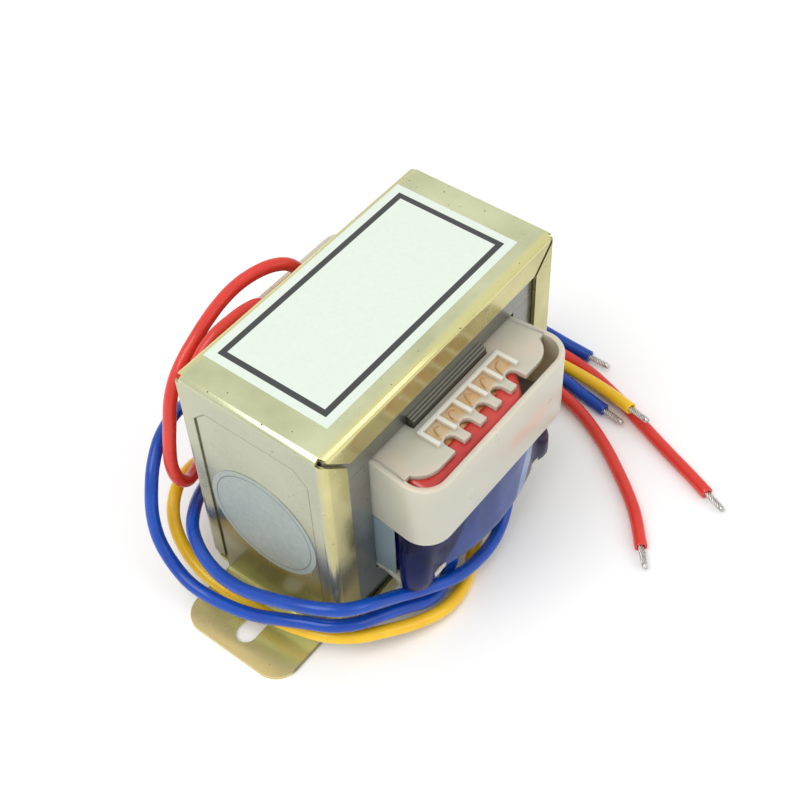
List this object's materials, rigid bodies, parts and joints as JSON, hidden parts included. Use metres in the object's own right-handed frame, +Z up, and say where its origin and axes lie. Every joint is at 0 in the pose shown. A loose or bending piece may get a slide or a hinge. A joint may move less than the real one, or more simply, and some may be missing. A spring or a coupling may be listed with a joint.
{
  "type": "laminated chassis transformer",
  "caption": "Chassis transformer with a laminated core in a folded frame with slotted feet, a moulded bobbin with a shrouded upper winding, and insulated flying leads.",
  "frame": {"origin": "midway between the slots of the two feet, on the mounting surface", "axes": "+X along the core from foot to foot, +Y through the stack away from the side shown first, +Z up"},
  "size_m": [0.1063, 0.1014, 0.0568],
  "materials": {
    "yellow_zinc": "bright yellow-zinc plated sheet steel",
    "core_steel": "varnished silicon steel, satin",
    "nylon": "milky, slightly translucent nylon",
    "copper": "enamelled copper wire, wound in layers",
    "red_tape": "glossy polyester tape",
    "blue_tape": "glossy polyester tape",
    "liner_film": "thin polyester film",
    "label_film": "white film with a plain dark border",
    "sticker_film": "silver-grey paper",
    "red_insulation": "smooth PVC",
    "blue_insulation": "smooth PVC",
    "yellow_insulation": "smooth PVC",
    "tinned_copper": "tinned copper strands, twisted"
  },
  "bodies": {
    "root": {"frame_cover": "yellow_zinc", "base_channel": "yellow_zinc", "e_laminations_upright": "core_steel", "e_laminations_inverted": "core_steel", "i_laminations_top": "core_steel", "i_laminations_bottom": "core_steel", "core_shims": "core_steel", "bobbin": "nylon", "winding_shroud": "nylon", "primary_winding": "copper", "primary_tape": "red_tape", "secondary_winding": "copper", "secondary_tape": "blue_tape", "window_liners": "liner_film", "rating_label": "label_film", "round_sticker": "sticker_film", "red_lead_1": "red_insulation", "red_lead_1_strands": "tinned_copper", "red_lead_2": "red_insulation", "red_lead_2_strands": "tinned_copper", "blue_lead_1": "blue_insulation", "blue_lead_1_strands": "tinned_copper", "blue_lead_2": "blue_insulation", "blue_lead_2_strands": "tinned_copper", "yellow_lead": "yellow_insulation", "yellow_lead_strands": "tinned_copper"}
  },
  "joints": []
}
